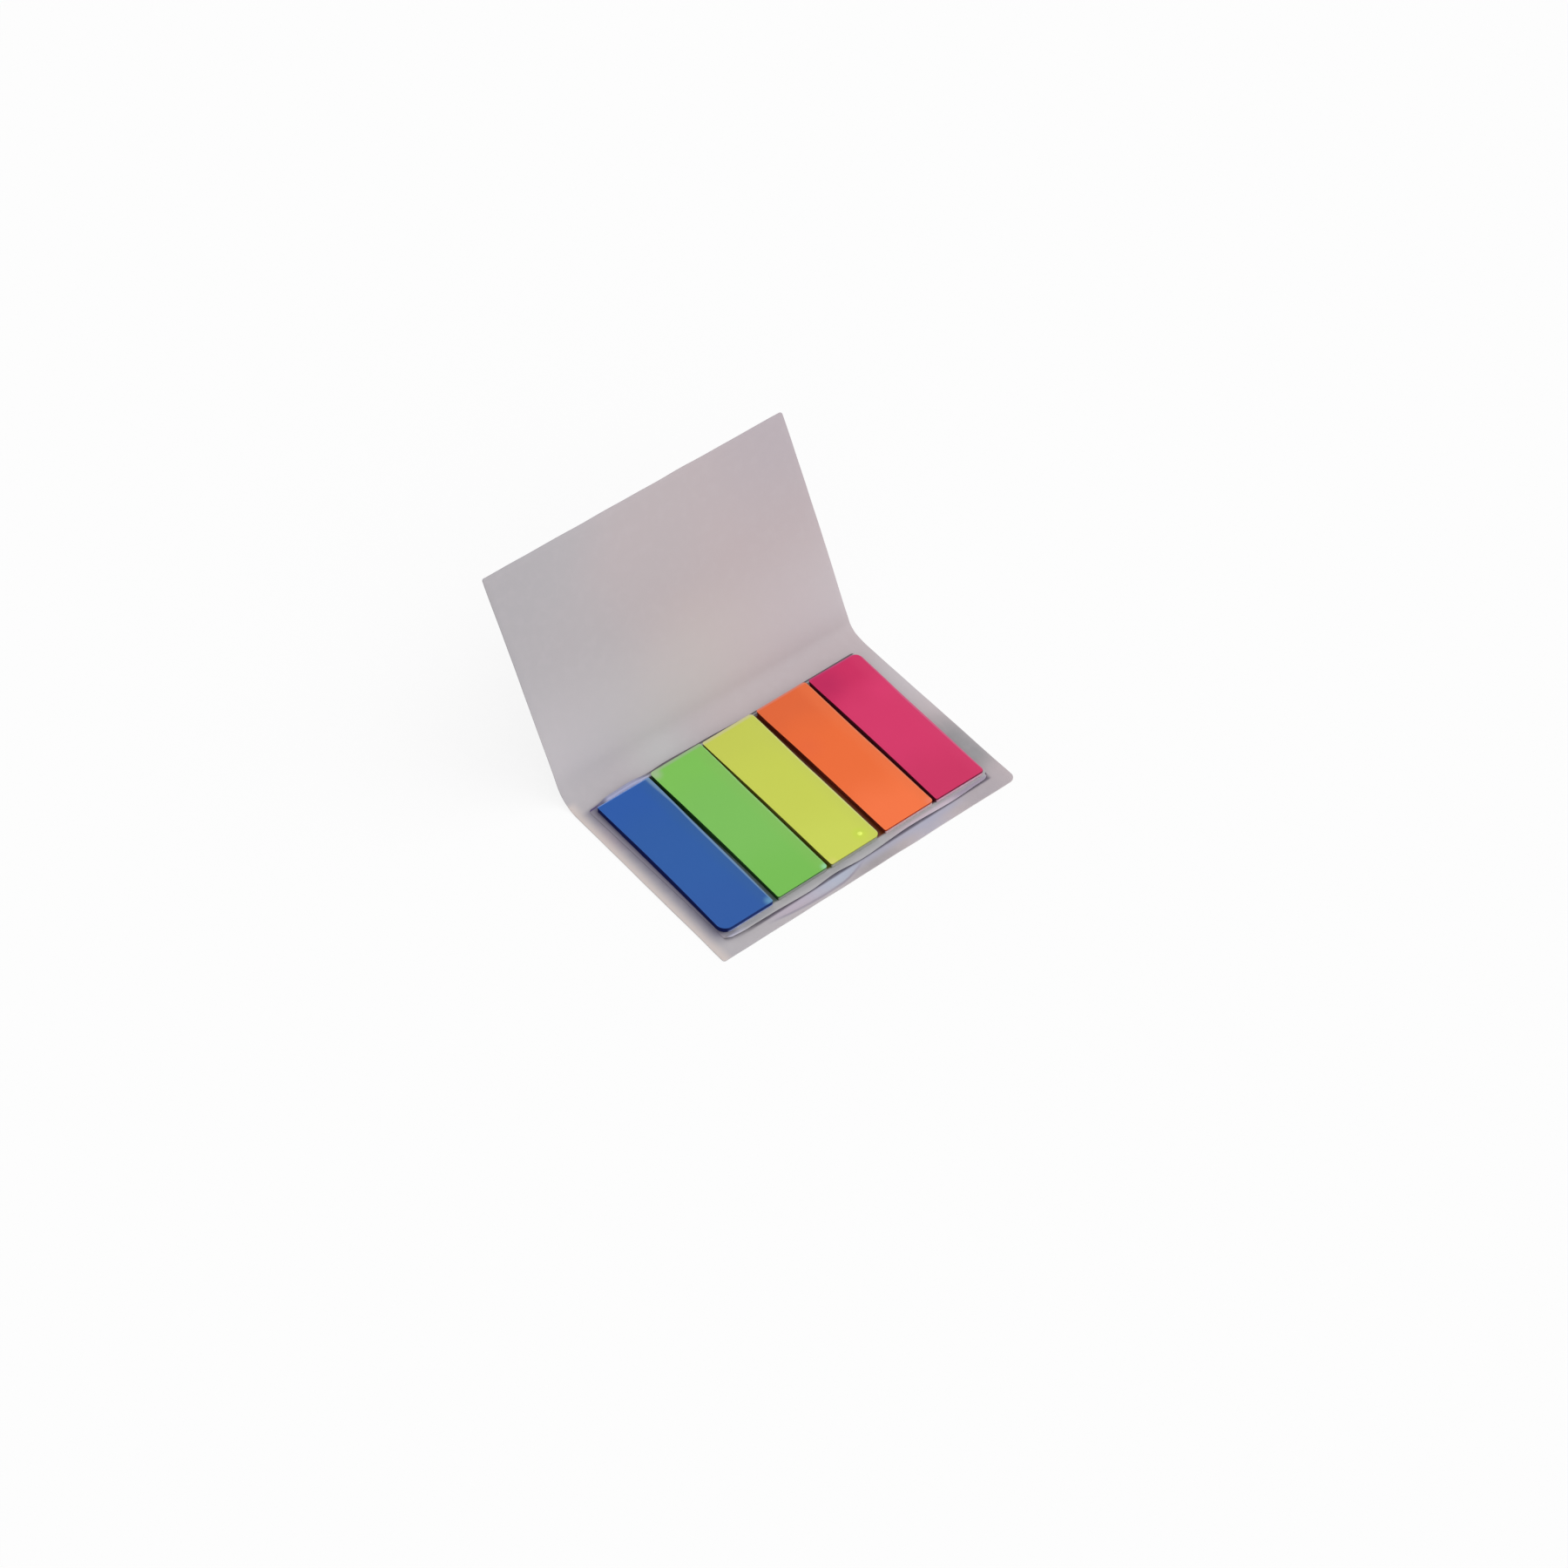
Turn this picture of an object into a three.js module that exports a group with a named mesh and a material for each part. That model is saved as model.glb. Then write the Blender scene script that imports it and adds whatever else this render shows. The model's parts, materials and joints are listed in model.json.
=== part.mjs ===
import * as THREE from "three";

// Folded card booklet with five pads of film page flags on one backing sheet.
// Millimetres, +Z up. The booklet lies on its base panel with the cover raised behind it.
// The origin is the middle of the base panel's underside, -Y is the front edge that a user faces,
// and +X is the side of the last pad.

// Driving sizes of the folded card

const cardThickness = 0.4;
const cardWidth = 90;
const panelDepth = 60.2;
const spineDepth = 3;
const baseCornerRadius = 1.8;
const coverCornerRadius = 0.7;
const coverOpenAngle = THREE.MathUtils.degToRad(63);

// Half the width of the fold line that is left free between two panels,
// wide enough for a square fold without the panels' edges meeting.

const foldClearance = 0.25;

// Driving sizes of the flag pads

const flagLength = 49;
const flagWidth = 15;
const padThickness = 1.25;
const padSpacing = 1.3;
const padRowCentre = { x: -0.2, y: 0.35 };

// Pads lie as they were stuck down by hand: each has its own small shift and turn,
// and the corners are cut square apart from the few that a cutter left round.

const pads = [
  { name: "pad_blue", colour: 0x365ea3, shift: [-0.1, 0], turn: -0.35, corners: [2.6, 0.5, 0.4, 0.4] },
  { name: "pad_green", colour: 0x80bf5e, shift: [0.1, 0], turn: -0.1, corners: [0.5, 0.8, 0.4, 0.9] },
  { name: "pad_yellow", colour: 0xc8d05b, shift: [-0.25, -0.1], turn: 0.1, corners: [0.5, 1.5, 0.9, 0.6] },
  { name: "pad_orange", colour: 0xeb7042, shift: [0.2, 0], turn: 0, corners: [0.5, 0.8, 0.8, 0.6] },
  { name: "pad_pink", colour: 0xd13b69, shift: [0, -0.2], turn: -0.6, corners: [0.5, 0.8, 2.2, 0.5] },
];

// Driving sizes of the backing sheet that carries the pads, and of the tape that holds it.
// Each overhang is how far the sheet shows past the row of pads, and the tape stops short of each
// end of the row by its inset. The sheet's corners run as a pad's do.

const backingThickness = 0.12;
const backingCorners = [0.8, 2.5, 0.8, 0.8];
const backingOverhang = {
  frontLeft: 2.2,
  frontRight: 1.75,
  back: 1.45,
  leftFront: 0.5,
  leftBack: 1.5,
  right: 0.6,
};
const tapeThickness = 0.1;
const tapeWidth = 24;
const tapeInset = 2.2;

// Air between two sheets that lie on each other.

const sheetGap = 0.02;

// Finishes

const cardFinish = { color: 0xb8b2b4, roughness: 0.85, metalness: 0 };
const backingFinish = { color: 0xb6b4c0, roughness: 0.45, metalness: 0 };
const tapeFinish = { color: 0xe6e2d8, roughness: 0.7, metalness: 0 };
const flagRoughness = 0.38;

// Heights of the layers above the floor

const tapeLevel = cardThickness + sheetGap;
const backingLevel = tapeLevel + tapeThickness + sheetGap;
const padLevel = backingLevel + backingThickness + sheetGap;

// A flat sheet whose outline is a polygon with a round at each corner.
// Points run anticlockwise, and each radius belongs to the point of the same place in the list.

function roundedSheet(points, radii, thickness) {
  const outline = new THREE.Shape();
  const count = points.length;
  for (let i = 0; i < count; i++) {
    const corner = new THREE.Vector2(...points[i]);
    const before = new THREE.Vector2(...points[(i + count - 1) % count]).sub(corner).normalize();
    const after = new THREE.Vector2(...points[(i + 1) % count]).sub(corner).normalize();
    const start = corner.clone().addScaledVector(before, radii[i]);
    const end = corner.clone().addScaledVector(after, radii[i]);
    if (i === 0) {
      outline.moveTo(start.x, start.y);
    } else {
      outline.lineTo(start.x, start.y);
    }
    if (radii[i] > 0) {
      outline.quadraticCurveTo(corner.x, corner.y, end.x, end.y);
    }
  }
  outline.closePath();
  return new THREE.ExtrudeGeometry(outline, { depth: thickness, bevelEnabled: false, curveSegments: 6 });
}

// A panel of the card seen from above, from y = 0 to y = depth.
// Its edge at y = 0 has square corners where it meets a fold, and so has the far edge if radius is 0.

function cardPanel(name, depth, radius) {
  const half = cardWidth / 2;
  const points = [
    [-half, 0],
    [half, 0],
    [half, depth],
    [-half, depth],
  ];
  const geometry = roundedSheet(points, [0, 0, radius, radius], cardThickness);
  return namedMesh(name, geometry, cardFinish);
}

function namedMesh(name, geometry, finish) {
  const mesh = new THREE.Mesh(geometry, new THREE.MeshStandardMaterial(finish));
  mesh.name = name;
  return mesh;
}

// The three panels hang together by their folds. Each fold runs along X in the middle of the card's
// thickness, and the panels' edges stop a fold clearance short of it.

function foldedCard() {
  const card = new THREE.Group();
  const foldTurn = coverOpenAngle / 2;

  const base = cardPanel("card_base", panelDepth - foldClearance, baseCornerRadius);
  base.rotation.z = Math.PI;
  base.position.y = panelDepth / 2 - foldClearance;
  card.add(base);

  const baseFold = new THREE.Group();
  baseFold.position.set(0, panelDepth / 2, cardThickness / 2);
  baseFold.rotation.x = foldTurn;
  card.add(baseFold);

  const spine = cardPanel("card_spine", spineDepth - 2 * foldClearance, 0);
  spine.position.set(0, foldClearance, -cardThickness / 2);
  baseFold.add(spine);

  const coverFold = new THREE.Group();
  coverFold.position.y = spineDepth;
  coverFold.rotation.x = foldTurn;
  baseFold.add(coverFold);

  const cover = cardPanel("card_cover", panelDepth - foldClearance, coverCornerRadius);
  cover.position.set(0, foldClearance, -cardThickness / 2);
  coverFold.add(cover);
  return card;
}

// The row of pads decides where the backing sheet's edges lie.

const rowHalfWidth = (pads.length * flagWidth + (pads.length - 1) * padSpacing) / 2;
const rowLeft = padRowCentre.x - rowHalfWidth;
const rowRight = padRowCentre.x + rowHalfWidth;
const rowFront = padRowCentre.y - flagLength / 2;
const rowBack = padRowCentre.y + flagLength / 2;

function backingSheet() {
  const points = [
    [rowLeft - backingOverhang.leftFront, rowFront - backingOverhang.frontLeft],
    [rowRight + backingOverhang.right, rowFront - backingOverhang.frontRight],
    [rowRight + backingOverhang.right, rowBack + backingOverhang.back],
    [rowLeft - backingOverhang.leftBack, rowBack + backingOverhang.back],
  ];
  const geometry = roundedSheet(points, backingCorners, backingThickness);
  const sheet = namedMesh("backing_sheet", geometry, backingFinish);
  sheet.position.z = backingLevel;
  return sheet;
}

function mountingTape() {
  const geometry = new THREE.BoxGeometry(2 * (rowHalfWidth - tapeInset), tapeWidth, tapeThickness);
  const tape = namedMesh("mounting_tape", geometry, tapeFinish);
  tape.position.set(padRowCentre.x, padRowCentre.y, tapeLevel + tapeThickness / 2);
  return tape;
}

// A pad is one block of stacked flags. Its corners run front left, front right, back right, back left.

function flagPad(pad, place) {
  const halfWidth = flagWidth / 2;
  const halfLength = flagLength / 2;
  const points = [
    [-halfWidth, -halfLength],
    [halfWidth, -halfLength],
    [halfWidth, halfLength],
    [-halfWidth, halfLength],
  ];
  const finish = { color: pad.colour, roughness: flagRoughness, metalness: 0 };
  const mesh = namedMesh(pad.name, roundedSheet(points, pad.corners, padThickness), finish);
  const pitch = flagWidth + padSpacing;
  mesh.position.set(
    rowLeft + halfWidth + place * pitch + pad.shift[0],
    padRowCentre.y + pad.shift[1],
    padLevel,
  );
  mesh.rotation.z = THREE.MathUtils.degToRad(pad.turn);
  return mesh;
}

const booklet = new THREE.Group();
booklet.add(foldedCard());
booklet.add(mountingTape());
booklet.add(backingSheet());
pads.forEach((pad, place) => booklet.add(flagPad(pad, place)));

export default booklet;
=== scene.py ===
# A folded card booklet with five pads of film page flags on one backing sheet.
# Shapes are made in millimetres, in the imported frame's axes, and a finished piece is in metres.

import functools
import json
import math
import random

import bmesh
import bpy
from mathutils import Matrix, Vector, noise


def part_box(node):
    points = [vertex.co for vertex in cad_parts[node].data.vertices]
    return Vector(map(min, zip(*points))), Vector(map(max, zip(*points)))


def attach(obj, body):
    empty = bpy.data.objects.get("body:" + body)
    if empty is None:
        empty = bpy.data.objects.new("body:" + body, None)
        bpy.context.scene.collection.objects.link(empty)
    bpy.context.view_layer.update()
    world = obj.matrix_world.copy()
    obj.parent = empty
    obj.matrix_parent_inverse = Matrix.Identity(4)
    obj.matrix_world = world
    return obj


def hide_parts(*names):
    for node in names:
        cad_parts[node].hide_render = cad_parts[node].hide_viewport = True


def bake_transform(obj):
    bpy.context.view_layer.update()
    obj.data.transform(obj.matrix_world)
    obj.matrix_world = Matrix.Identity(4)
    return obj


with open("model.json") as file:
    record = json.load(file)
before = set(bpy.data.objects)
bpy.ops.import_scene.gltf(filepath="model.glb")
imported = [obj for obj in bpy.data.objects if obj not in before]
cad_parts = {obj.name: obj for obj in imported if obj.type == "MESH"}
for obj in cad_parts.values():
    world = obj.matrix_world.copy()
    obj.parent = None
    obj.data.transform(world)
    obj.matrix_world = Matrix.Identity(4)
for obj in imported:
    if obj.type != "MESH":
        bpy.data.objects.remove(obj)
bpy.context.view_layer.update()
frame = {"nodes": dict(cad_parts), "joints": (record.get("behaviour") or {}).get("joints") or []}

MM = 0.001


def box_mm(node):
    low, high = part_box(node)
    return low / MM, high / MM


# What the frame says about the card

base_low, base_high = box_mm("card_base")
base_fold, cover_fold = [Vector(joint["pos_m"]) / MM for joint in frame["joints"]]
fold_turn = math.radians(-frame["joints"][0]["range_deg"][0])
half_width = base_high.x
card_thickness = base_high.z - base_low.z
card_middle = (base_high.z + base_low.z) / 2
card_front = base_low.y
panel_depth = base_fold.y - card_front
spine_depth = (cover_fold - base_fold).length
spine_way = (cover_fold - base_fold).normalized()
spine_middle = (base_fold + cover_fold) / 2
cover_way = Vector((0, math.cos(2 * fold_turn), math.sin(2 * fold_turn)))

# The card's soft bend. Its two flat parts would meet at the crease, and the bend starts and ends
# this far from the crease at the left and at the right side of the card.

crease = Vector((0, base_fold.y + spine_depth / 2 / math.cos(fold_turn), card_middle))
cover_run = panel_depth + spine_depth / 2 / math.cos(fold_turn)
BEND_BEFORE = (4.8, 7.0)
BEND_AFTER = (5.8, 3.5)

# How many rows each half's mesh has in the bend, and how far past the bend they reach

BEND_ROWS = 26
BEND_MARGIN = 1

# The search for the place where the card crosses the middle of the spine: how often it halves
# what is left, and the digits of x that it tells apart

SEAM_HALVINGS = 30
SEAM_DIGITS = 3

# The rounds of the base panel's front corners, of the cover's two and of the cut edges

BASE_CORNERS = (0.7, 1.7)
COVER_CORNER = 0.6
CARD_EDGE_ROUND = 0.05
CARD_EDGE_SEGMENTS = 2

# The card's mesh: the usual distance between its lines, and closer rows on the front margin

CARD_GRID = 1.8
MARGIN_DEPTH = 5
MARGIN_GRID = 0.4

# How far the card's cut edges stray, how long such a wave is and how far in it is felt

EDGE_STRAY = 0.16
EDGE_WAVE = 9
EDGE_REACH = 2

# How much the raised cover bows and warps, and how large a warped patch is

COVER_BOW = 0.35
COVER_WARP = 0.25
COVER_PATCH = 38

# Which slice of the noise a pattern is cut from

EDGE_SLICE = 3.7
COVER_SLICE = 9.1

# The front margin of the card has a soft crease of its own: a shallow arc from the left, which
# turns back under the sheet.

CREASE_MIDDLE = Vector((-13, -29.4))
CREASE_ARC = 0.0058
CREASE_TURN = (-9, 4)
CREASE_TURN_DEPTH = 2
CREASE_ENDS = (-31, 2)
CREASE_FADES = (7, 9)
CREASE_HEIGHT = 0.2
CREASE_SPREAD = 0.4

# Meshes in general, with angles in degrees

CORNER_SEGMENTS = 8
SAME_PLACE = 0.001
CUT_SLACK = 0.0001
EDGE_ANGLE = 60
SMOOTH_ANGLE = 38


def srgb(red, green, blue):
    """A colour as the eye sees it, from 0 to 255, as the linear colour that a shader takes."""
    values = [channel / 255 for channel in (red, green, blue)]
    linear = [v / 12.92 if v <= 0.04045 else ((v + 0.055) / 1.055) ** 2.4 for v in values]
    return (*linear, 1)


def smooth(value, start, end):
    """0 before start, 1 after end, and a smooth step between them, also for a number in a material."""
    if isinstance(value, Number):
        return value.rise(start, end)
    share = max(0, min(1, (value - start) / (end - start)))
    return share * share * (3 - 2 * share)


def between(value, stops):
    """A value read off a list of (place, value) stops, with smooth steps between them."""
    if value <= stops[0][0]:
        return stops[0][1]
    for (start, low), (end, high) in zip(stops, stops[1:]):
        if value <= end:
            return low + (high - low) * smooth(value, start, end)
    return stops[-1][1]


def crease_line(x):
    """Where the soft crease on the front margin lies, for a plain x or one in a material."""
    arc = (x - CREASE_MIDDLE.x) * (x - CREASE_MIDDLE.x) * CREASE_ARC
    return arc + CREASE_MIDDLE.y + smooth(x, *CREASE_TURN) * CREASE_TURN_DEPTH


def crease_window(x):
    """How strong that crease is: it fades out towards both of its ends."""
    left, right = CREASE_ENDS
    return smooth(x, left, left + CREASE_FADES[0]) * smooth(x, right, right - CREASE_FADES[1])


# Shader maths


class Number:
    """A number in a material. Arithmetic on it adds the Math nodes that work it out."""

    def __init__(self, finish, socket):
        self.finish = finish
        self.socket = socket

    def maths(self, operation, *values):
        inputs = dict(enumerate(values))
        node = self.finish.node("ShaderNodeMath", {"operation": operation}, inputs)
        return Number(self.finish, node.outputs[0])

    def __add__(self, other):
        return self.maths("ADD", self, other)

    def __radd__(self, other):
        return self.maths("ADD", other, self)

    def __sub__(self, other):
        return self.maths("SUBTRACT", self, other)

    def __rsub__(self, other):
        return self.maths("SUBTRACT", other, self)

    def __mul__(self, other):
        return self.maths("MULTIPLY", self, other)

    def __rmul__(self, other):
        return self.maths("MULTIPLY", other, self)

    def __truediv__(self, other):
        return self.maths("DIVIDE", self, other)

    def __rtruediv__(self, other):
        return self.maths("DIVIDE", other, self)

    def rise(self, start, end):
        """0 at start and 1 at end, with a smooth step between them."""
        settings = {"interpolation_type": "SMOOTHSTEP"}
        inputs = {"Value": self, "From Min": start, "From Max": end}
        node = self.finish.node("ShaderNodeMapRange", settings, inputs)
        return Number(self.finish, node.outputs[0])

    def window(self, start, full, fade, end):
        """1 between full and fade, with smooth steps to 0 at start and at end."""
        return self.rise(start, full) * self.rise(end, fade)

    def wave(self, length):
        """A wave from 0 to 1 that repeats after each length."""
        return self.maths("SINE", self * (2 * math.pi / length)) * 0.5 + 0.5


class Nodes:
    """A node tree, with one method that adds any node."""

    def __init__(self, tree):
        self.tree = tree

    def node(self, kind, settings, inputs):
        node = self.tree.nodes.new(kind)
        for name, value in settings.items():
            setattr(node, name, value)
        for key, value in inputs.items():
            self.feed(node.inputs[key], value)
        return node

    def feed(self, socket, value):
        if isinstance(value, Number):
            value = value.socket
        if isinstance(value, bpy.types.NodeSocket):
            self.tree.links.new(value, socket)
        else:
            socket.default_value = value


class Finish(Nodes):
    """A material: what is the same all over is set on its shader, and the rest comes from nodes."""

    def __init__(self, name, **surface):
        self.material = bpy.data.materials.new(name)
        self.material.use_nodes = True
        super().__init__(self.material.node_tree)
        self.shader = self.tree.nodes["Principled BSDF"]
        for socket, value in surface.items():
            self.shader.inputs[socket.replace("_", " ")].default_value = value

    def set(self, socket, value):
        self.feed(self.shader.inputs[socket], value)

    def place(self, centre=(0, 0, 0), turn=0):
        """The place on the piece in millimetres, counted from a centre and along turned axes."""
        coordinates = self.node("ShaderNodeTexCoord", {}, {})
        inputs = {
            "Vector": coordinates.outputs["Object"],
            "Location": Vector(centre) * MM,
            "Rotation": (0, 0, turn),
            "Scale": (MM, MM, MM),
        }
        return self.node("ShaderNodeMapping", {"vector_type": "TEXTURE"}, inputs).outputs[0]

    def rest_place(self):
        """The place in millimetres that each point has at rest, which stays with it as the card bends."""
        return self.node("ShaderNodeAttribute", {"attribute_name": "rest_place"}, {}).outputs["Vector"]

    def axes(self, vector):
        outputs = self.node("ShaderNodeSeparateXYZ", {}, {0: vector}).outputs
        return [Number(self, output) for output in outputs]

    def near(self, vector, centre, radius):
        """1 at a centre and 0 at a radius from it."""
        settings = {"operation": "DISTANCE"}
        node = self.node("ShaderNodeVectorMath", settings, {0: vector, 1: centre})
        return Number(self, node.outputs["Value"]).rise(radius, 0)

    def cloud(self, vector, size, detail=2, roughness=0.5):
        """A soft noise from 0 to 1 whose patches are about the given size."""
        inputs = {"Vector": vector, "Scale": 1 / size, "Detail": detail, "Roughness": roughness}
        return Number(self, self.node("ShaderNodeTexNoise", {}, inputs).outputs[0])

    def mix(self, factor, first, second):
        settings = {"data_type": "RGBA"}
        inputs = {0: factor, 6: first, 7: second}
        return self.node("ShaderNodeMix", settings, inputs).outputs[2]

    def paint(self, colour, strength, tint):
        """A colour tinted with one that the eye sees as given, as strongly as a number from 0 to 1 says."""
        return self.mix(strength, colour, srgb(*tint))

    def bump(self, height):
        """Feeds a height in millimetres to the shader's normal."""
        node = self.node("ShaderNodeBump", {}, {"Distance": MM, "Height": height})
        self.set("Normal", node.outputs[0])


# Meshes


def outline_plate(corners, radii):
    """A flat face in z = 0 with a round at each corner that has a radius."""
    bm = bmesh.new()
    points = [bm.verts.new((x, y, 0)) for x, y in corners]
    bm.faces.new(points)
    for point, radius in zip(points, radii):
        if radius:
            bmesh.ops.bevel(
                bm,
                geom=[point],
                offset=radius,
                segments=CORNER_SEGMENTS,
                profile=0.5,
                affect="VERTICES",
                material=-1,
            )
    return bm


def cut_lines(bm, axis, places):
    """Cuts the whole mesh along planes across one axis, so that it can bend there."""
    normal = Vector((0, 0, 0))
    normal[axis] = 1
    for place in places:
        geometry = bm.verts[:] + bm.edges[:] + bm.faces[:]
        bmesh.ops.bisect_plane(
            bm, geom=geometry, dist=CUT_SLACK, plane_co=normal * place, plane_no=normal
        )


def steps(start, end, size):
    """Evenly spread places between start and end, without the ends."""
    count = max(1, round((end - start) / size))
    return [start + (end - start) * i / count for i in range(1, count)]


def thicken(bm, thickness):
    """Gives the flat faces a thickness, half of it on each side."""
    raised = bmesh.ops.extrude_face_region(bm, geom=bm.faces[:])["geom"]
    top = [item for item in raised if isinstance(item, bmesh.types.BMVert)]
    bmesh.ops.translate(bm, verts=top, vec=(0, 0, thickness))
    bmesh.ops.translate(bm, verts=bm.verts[:], vec=(0, 0, -thickness / 2))
    bmesh.ops.recalc_face_normals(bm, faces=bm.faces[:])


def round_edges(bm, radius, segments, keep):
    """Rounds the sharp edges that run along the outline, apart from those that keep names."""
    sharp = [
        edge
        for edge in bm.edges
        if edge.calc_face_angle(0) > math.radians(EDGE_ANGLE)
        and abs(edge.verts[0].co.z - edge.verts[1].co.z) < radius
        and not keep(edge)
    ]
    bmesh.ops.bevel(
        bm,
        geom=sharp,
        offset=radius,
        segments=segments,
        profile=0.5,
        affect="EDGES",
        material=-1,
    )


def finished_piece(name, bm, *materials):
    """Turns a mesh in millimetres into a smooth-shaded object in metres."""
    many_sided = [face for face in bm.faces if len(face.verts) > 4]
    bmesh.ops.triangulate(bm, faces=many_sided)
    bmesh.ops.recalc_face_normals(bm, faces=bm.faces[:])
    bmesh.ops.scale(bm, vec=(MM, MM, MM), verts=bm.verts[:])
    mesh = bpy.data.meshes.new(name)
    bm.to_mesh(mesh)
    bm.free()
    mesh.shade_smooth()
    mesh.set_sharp_from_angle(angle=math.radians(SMOOTH_ANGLE))
    for material in materials:
        mesh.materials.append(material)
    piece = bpy.data.objects.new(name, mesh)
    bpy.context.scene.collection.objects.link(piece)
    return piece


# The card


def across(x, ends):
    """A value read between the card's left and right side."""
    share = (x + half_width) / (2 * half_width)
    return ends[0] + (ends[1] - ends[0]) * share


def bend_point(x, share):
    """The middle of the card in its bend, and the direction square to it, at a share of the bend."""
    start = crease - Vector((0, across(x, BEND_BEFORE), 0))
    end = crease + cover_way * across(x, BEND_AFTER)
    rest = 1 - share
    middle = start * rest * rest + crease * 2 * rest * share + end * share * share
    along = ((crease - start) * rest + (end - crease) * share).normalized()
    return middle, Vector((0, -along.z, along.y))


@functools.lru_cache(maxsize=None)
def seam_share(x):
    """The share of the bend at which the card crosses the middle of the spine."""
    low, high = 0, 1
    for _ in range(SEAM_HALVINGS):
        share = (low + high) / 2
        if (bend_point(x, share)[0] - spine_middle).dot(spine_way) < 0:
            low = share
        else:
            high = share
    return share


def base_point(x, along):
    """A place on the base panel, counted from the front edge, and the direction square to it."""
    flat = crease.y - across(x, BEND_BEFORE) - card_front
    length = crease.y - card_front
    if along <= flat:
        middle = Vector((x, card_front + along, card_middle))
        return middle, Vector((0, 0, 1))
    share = seam_share(round(x, SEAM_DIGITS)) * (along - flat) / (length - flat)
    middle, square = bend_point(x, share)
    return Vector((x, middle.y, middle.z)), square


def cover_point(x, along):
    """A place on the cover, counted from the middle of the spine, and the direction square to it."""
    bent = across(x, BEND_AFTER)
    if along >= bent:
        middle = crease + cover_way * along
        return Vector((x, middle.y, middle.z)), Vector((0, -cover_way.z, cover_way.y))
    seam = seam_share(round(x, SEAM_DIGITS))
    middle, square = bend_point(x, seam + (1 - seam) * along / bent)
    return Vector((x, middle.y, middle.z)), square


def edge_waver(x, along):
    """How far the cut edge strays from a straight line, as card that was cut and handled does."""
    return EDGE_STRAY * noise.noise(Vector((x / EDGE_WAVE, along / EDGE_WAVE, EDGE_SLICE)))


def margin_crease(x, along):
    """The height of the soft crease near the front edge."""
    offset = (card_front + along - crease_line(x)) / CREASE_SPREAD
    return crease_window(x) * CREASE_HEIGHT * math.exp(-offset * offset)


def cover_bow(x, along):
    """The slight bow that the raised cover has between its corners."""
    share = along / cover_run
    warp = noise.noise(Vector((x / COVER_PATCH, along / COVER_PATCH, COVER_SLICE)))
    return math.sin(math.pi * share) * COVER_BOW + COVER_WARP * share * warp


def card_half(depth, rows, radii, point, lift):
    """One half of the card: a flat plate with rounded corners, bent to the card's section."""
    corners = [(-half_width, 0), (half_width, 0), (half_width, depth), (-half_width, depth)]
    bm = outline_plate(corners, radii)
    seam = 0 if radii[0] == 0 else depth
    thicken(bm, card_thickness)
    round_edges(
        bm,
        CARD_EDGE_ROUND,
        CARD_EDGE_SEGMENTS,
        lambda edge: all(abs(vert.co.y - seam) < SAME_PLACE for vert in edge.verts),
    )
    cut_lines(bm, 0, steps(-half_width, half_width, CARD_GRID))
    cut_lines(bm, 1, rows)
    rest_place = bm.verts.layers.float_vector.new("rest_place")
    for vert in bm.verts:
        x, along, height = vert.co
        side = smooth(abs(x), half_width - EDGE_REACH, half_width) * math.copysign(1, x)
        end = smooth(abs(along - seam), depth - EDGE_REACH, depth) * math.copysign(1, depth / 2 - seam)
        middle, square = point(x, along)
        vert.co = middle + square * (height + lift(x, along))
        vert.co.x += side * edge_waver(0, along)
        way = Vector((0, square.z, -square.y))
        vert.co += way * end * edge_waver(x, 0)
        vert[rest_place] = vert.co
    return bm


def card_front_half(material):
    """The base panel and the near half of the spine, bending over the first fold."""
    depth = crease.y - card_front
    bend_start = depth - max(BEND_BEFORE) - BEND_MARGIN
    rows = steps(0, MARGIN_DEPTH, MARGIN_GRID) + [MARGIN_DEPTH]
    rows += steps(MARGIN_DEPTH, bend_start, CARD_GRID)
    rows += [bend_start] + steps(bend_start, depth, (depth - bend_start) / BEND_ROWS)
    radii = (*BASE_CORNERS, 0, 0)
    bm = card_half(depth, rows, radii, base_point, margin_crease)
    piece = finished_piece("folded_card_front", bm, material)
    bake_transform(piece)
    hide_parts("card_base", "card_spine")
    return piece


def card_back_half(material):
    """The far half of the spine and the cover, bending over the second fold."""
    bend_end = max(BEND_AFTER) + BEND_MARGIN
    rows = steps(0, bend_end, bend_end / BEND_ROWS) + [bend_end]
    rows += steps(bend_end, cover_run, CARD_GRID)
    radii = (0, 0, COVER_CORNER, COVER_CORNER)
    bm = card_half(cover_run, rows, radii, cover_point, cover_bow)
    piece = finished_piece("folded_card_back", bm, material)
    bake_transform(piece)
    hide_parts("card_cover")
    return piece


# Colours of the card from left to right, as the eye sees them

CARD_COOL = (180, 176, 180)
CARD_WARM = (189, 177, 180)

# Soft patches of tint on the card: colour, centre, radius and strength. The two at the top of the
# cover are painted shade, the lavender-blue one on the front margin is a painted sheen, the two near
# the fold tint the card grey and pink, and the rest make parts of the margins paler or darker.

CARD_TONE_AND_LIGHT = [
    ((178, 170, 178), (42, 57, 54), 34, 0.5),
    ((172, 168, 172), (-45, 57, 54), 34, 0.5),
    ((190, 191, 190), (-17, 30, 1), 14, 0.6),
    ((196, 182, 178), (5, 37, 13), 26, 0.5),
    ((190, 170, 174), (-43, 16, 0.4), 8, 0.5),
    ((158, 153, 156), (2, -29.5, 0.4), 14, 0.8),
    ((172, 173, 192), (19, -28.6, 0.4), 9, 0.6),
    ((166, 161, 168), (36, -28.8, 0.4), 14, 0.6),
    ((196, 190, 194), (43.5, 12, 0.4), 20, 0.7),
]

# The line of the backing sheet's front edge at the middle of the card, and how fast it runs askew

SHEET_FRONT = -26.13
SHEET_SKEW = 0.0055


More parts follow.
